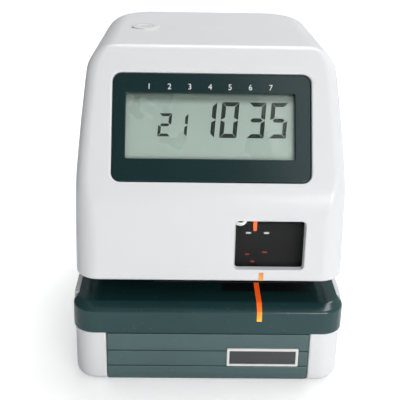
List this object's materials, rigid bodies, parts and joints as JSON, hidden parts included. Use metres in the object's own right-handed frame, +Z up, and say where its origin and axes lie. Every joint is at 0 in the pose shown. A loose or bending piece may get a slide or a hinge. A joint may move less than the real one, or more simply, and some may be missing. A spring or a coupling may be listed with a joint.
{
  "type": "date and time stamp machine",
  "caption": "Desk date and time stamp with a card table, a throat under a hinged head, a sloped display and a travelling print head.",
  "frame": {"origin": "on the surface it stands on, under the middle of the body", "axes": "+Z up, -Y towards the user, +X to the user's right"},
  "size_m": [0.152, 0.18, 0.187],
  "materials": {
    "white_shell": "fine moulded texture",
    "green_shell": "glossy dark grey-green plastic",
    "green_band": "satin grey-green plastic",
    "bezel_green": "glossy, very dark green",
    "badge_white": "satin white",
    "badge_grey": "satin dark grey, bare",
    "orange_mark": "orange sight line",
    "amber_mark": "yellow-orange mark",
    "rubber_black": "black rubber",
    "steel_plate": "black painted sheet steel",
    "zinc_steel": "zinc plated sheet steel",
    "bright_steel": "ground and plated steel",
    "screw_steel": "zinc plated screws",
    "core_steel": "laminated core, varnished",
    "coil_wrap": "varnished tape over the coil",
    "cell_wrap": "shrink wrapped cells",
    "black_plastic": "black moulded plastic",
    "grey_plastic": "dark grey moulded plastic",
    "white_plastic": "white acetal",
    "red_button": "red button cap",
    "knob_orange": "orange ribbon knob",
    "motor_metal": "plated motor can",
    "head_metal": "cast and blacked print head",
    "ink_fabric": "inked nylon ribbon",
    "board_green": "solder mask",
    "brass": "brass spacers",
    "can_blue": "sleeved capacitors",
    "clear_lens": "clear acrylic",
    "lcd_glass": "reflective grey-green panel",
    "smoke_pane": "clear plastic"
  },
  "bodies": {
    "body": {"lower_housing": "white_shell", "base_plate": "steel_plate", "rubber_feet": "rubber_black", "base_screws": "screw_steel", "front_band": "green_band", "badge_frame": "badge_white", "badge_field": "badge_grey", "cord_gland": "rubber_black", "transformer_core": "core_steel", "transformer_coil": "coil_wrap", "battery_pack": "cell_wrap", "card_table": "green_shell", "sight_line": "orange_mark", "platen": "rubber_black", "head_frame": "zinc_steel", "paper_guide": "black_plastic", "ribbon_mask": "black_plastic", "guide_rods": "bright_steel", "belt_motor": "motor_metal", "idler_post": "bright_steel", "drive_belt": "rubber_black", "ribbon_cassette": "black_plastic", "ink_ribbon": "ink_fabric", "microswitch": "black_plastic", "lever_pin": "bright_steel", "board_bracket": "zinc_steel", "bracket_screws": "screw_steel", "frame_screws": "screw_steel", "board_spacers": "brass", "main_board": "board_green", "board_chips": "black_plastic", "board_capacitors": "can_blue", "button_switches": "black_plastic", "hinge_pins": "bright_steel"},
    "carriage_body": {"carriage": "grey_plastic", "print_head": "head_metal", "print_nose": "black_plastic"},
    "motor_pulley_body": {"motor_pulley": "white_plastic"},
    "idler_pulley_body": {"idler_pulley": "white_plastic"},
    "ribbon_knob_body": {"ribbon_knob": "knob_orange"},
    "lever_body": {"trigger_lever": "white_plastic"},
    "button_1": {"setting_button_1": "white_plastic"},
    "button_2": {"setting_button_2": "white_plastic"},
    "button_3": {"setting_button_3": "red_button"},
    "cover": {"head_cover": "white_shell", "display_bezel": "bezel_green", "display_lens": "clear_lens", "lcd_panel": "lcd_glass", "lcd_board": "board_green", "lcd_screws": "screw_steel", "window_pane": "smoke_pane", "lip_mark": "amber_mark", "lock_ring": "bright_steel", "lock_nut": "bright_steel"},
    "lock": {"lock_plug": "bright_steel"}
  },
  "joints": [
    {"name": "cover_hinge", "type": "hinge", "parent": "body", "child": "cover", "pos_m": [0, 0.0815, 0.0693], "axis": [-1, 0, 0], "range_deg": [0, 75]},
    {"name": "key_turn", "type": "hinge", "parent": "cover", "child": "lock", "pos_m": [-0.0385, 0.007, 0.17], "axis": [0, 0, -1], "range_deg": [0, 90]},
    {"name": "carriage_slide", "type": "slide", "parent": "body", "child": "carriage_body", "axis": [1, 0, 0], "range_m": [0, 0.06]},
    {"name": "motor_pulley_spin", "type": "hinge", "parent": "body", "child": "motor_pulley_body", "pos_m": [-0.046, -0.012, 0.09], "axis": [0, 0, 1], "range_deg": [-5, 560]},
    {"name": "idler_pulley_spin", "type": "hinge", "parent": "body", "child": "idler_pulley_body", "pos_m": [0.054, -0.012, 0.09], "axis": [0, 0, 1], "range_deg": [-5, 560]},
    {"name": "ribbon_knob_turn", "type": "hinge", "parent": "body", "child": "ribbon_knob_body", "pos_m": [-0.044, -0.04, 0.112], "axis": [0, 0, 1], "continuous": true},
    {"name": "trigger_swing", "type": "hinge", "parent": "body", "child": "lever_body", "pos_m": [0.008, -0.02, 0.0728], "axis": [1, 0, 0], "range_deg": [0, 20], "stiffness_Nm_per_rad": 0.004, "springref_deg": -11.46},
    {"name": "button_1_press", "type": "slide", "parent": "body", "child": "button_1", "axis": [0, 0, -1], "range_m": [0, 0.0008], "stiffness_N_per_m": 800, "springref_m": -0.0004},
    {"name": "button_2_press", "type": "slide", "parent": "body", "child": "button_2", "axis": [0, 0, -1], "range_m": [0, 0.0008], "stiffness_N_per_m": 800, "springref_m": -0.0004},
    {"name": "button_3_press", "type": "slide", "parent": "body", "child": "button_3", "axis": [0, 0, -1], "range_m": [0, 0.0008], "stiffness_N_per_m": 800, "springref_m": -0.0004}
  ],
  "couplings": [
    {"joint": "motor_pulley_spin", "follows": "carriage_slide", "rad_per_m": 158.73},
    {"joint": "idler_pulley_spin", "follows": "carriage_slide", "rad_per_m": 158.73}
  ]
}
